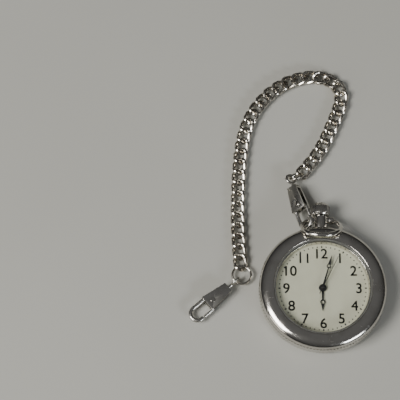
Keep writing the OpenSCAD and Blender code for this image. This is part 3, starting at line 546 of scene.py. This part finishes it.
# %% Refine the hands and cap the middle
hand_pieces = [
    refined("hour_hand_lacquered", "hour_hand", black_lacquer, "hour_train", 0.03),
    refined("minute_hand_lacquered", "minute_hand", black_lacquer, "minute_train", 0.03),
    refined("seconds_hand_lacquered", "seconds_hand", black_lacquer, "seconds_train", 0.02),
]
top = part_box("seconds_hand")[1][2] / MM
cap = turned([(0, top - 0.02), (0.42, top - 0.02), (0.42, top + 0.05), (0.34, top + 0.14),
              (0.18, top + 0.19), (0, top + 0.2)], 40, closed=False)
new_piece("hand_cap_domed", cap, black_lacquer, "seconds_train")
print("hands:", len(hand_pieces), "top in mm:", round(top + 0.2, 2))

# %% [markdown]
# ## Crystal
# The crystal is a thin lens with a slight dome and a polished chamfer at its rim, which
# shows as a fine bright ring inside the bezel.

# %% Grind the crystal
face = [(CRYSTAL_R * (1 - k / 12), CRYSTAL_Z + 1.0 + 0.4 * (2 - k / 12) * k / 12) for k in range(1, 13)]
crystal_outline = ([(0, CRYSTAL_Z), (CRYSTAL_R - 0.02, CRYSTAL_Z), (CRYSTAL_R - 0.02, CRYSTAL_Z + 0.75),
                    (CRYSTAL_R - 0.25, CRYSTAL_Z + 1.0)] + [p for p in face if p[0] < CRYSTAL_R - 0.3])
crystal = new_piece("crystal_domed", turned(crystal_outline, 128, closed=False), crystal_glass, "case",
                    stands_for=("crystal",))
print("crystal triangles:", sum(len(p.vertices) - 2 for p in crystal.data.polygons))

# %% [markdown]
# ## Finishes for the imported pieces
# What stays as packed is inside the case, where it shows only when a piece is lifted
# away. Each takes the finish of its slot in the record, apart from the crystal's gasket,
# which is made dark grey instead of white, to darken the ring at the crystal's rim.

# %% Give each imported piece its finish
FINISH_OF_SLOT = {
    "polished_steel": case_steel, "chain_steel": chain_steel, "crystal": crystal_glass,
    "dial_enamel": dial_enamel, "black_hands": black_lacquer, "brass": movement_brass,
    "tool_steel": tool_steel, "blued_steel": blued_steel, "rubber": black_rubber,
    "white_plastic": white_nylon, "board": green_board, "copper_wire": coil_copper,
}
for part in frame["record"]["subparts"]:
    node = frame["nodes"][part["node"]]
    node.data.materials.clear()
    node.data.materials.append(FINISH_OF_SLOT[part["material_slot"]])
gasket = frame["nodes"]["crystal_gasket"]
# The gasket is made dark grey instead of white, to darken the ring at the crystal's rim.
gasket.data.materials[0] = dark_grey_rim_finish

# %% [markdown]
# ## Floor and light
# A pale grey table top and soft studio light: one large panel high on the left lights
# the table, and two low panels give the polished dome its bright streaks. The room is
# dim overhead and darker near the horizon, and that fall is what makes polished metal
# look like metal.

# %% Lay the floor
floor_mesh = bmesh.new()
bmesh.ops.create_grid(floor_mesh, x_segments=1, y_segments=1, size=3.0)
floor_data = bpy.data.meshes.new("floor")
floor_mesh.to_mesh(floor_data)
floor_mesh.free()
floor = bpy.data.objects.new("floor", floor_data)
bpy.context.scene.collection.objects.link(floor)
floor_data.materials.append(coated("pale_table_top", (0.50, 0.495, 0.455), (0.48, 0.475, 0.435), 0.55,
                                   spread=9.0, tooth=900.0, depth=0.00002))


# %% Hang the lights
def panel(name, at, size, power, tint=(1, 1, 1)):
    data = bpy.data.lights.new(name, "AREA")
    data.shape, data.size, data.size_y = "RECTANGLE", size[0], size[1]
    data.energy, data.color = power, tint
    light = bpy.data.objects.new(name, data)
    light.location = Vector(at)
    aim = Vector(at) - Vector((-0.02, 0.02, 0))
    light.rotation_euler = aim.to_track_quat("Z", "Y").to_euler()
    bpy.context.scene.collection.objects.link(light)


panel("high_left_panel", (-0.90, -0.38, 1.05), (0.62, 0.62), 19.5, (1.0, 0.985, 0.95))
panel("low_left_panel", (-0.95, -0.55, 0.32), (0.5, 0.16), 1.0, (1.0, 0.96, 0.88))
panel("low_right_panel", (0.66, -0.76, 0.50), (0.46, 0.2), 4.4, (0.92, 0.96, 1.0))

world = bpy.data.worlds.new("room")
world.use_nodes = True
room, wires = world.node_tree.nodes, world.node_tree.links
direction = room.new("ShaderNodeTexCoord")
parts = room.new("ShaderNodeSeparateXYZ")
height = room.new("ShaderNodeMapRange")
height.inputs["From Min"].default_value, height.inputs["From Max"].default_value = 0.05, 0.9
height.inputs["To Min"].default_value, height.inputs["To Max"].default_value = 0.012, 0.14
wires.new(direction.outputs["Generated"], parts.inputs[0])
wires.new(parts.outputs["Z"], height.inputs["Value"])
wires.new(height.outputs[0], room["Background"].inputs["Color"])
bpy.context.scene.world = world
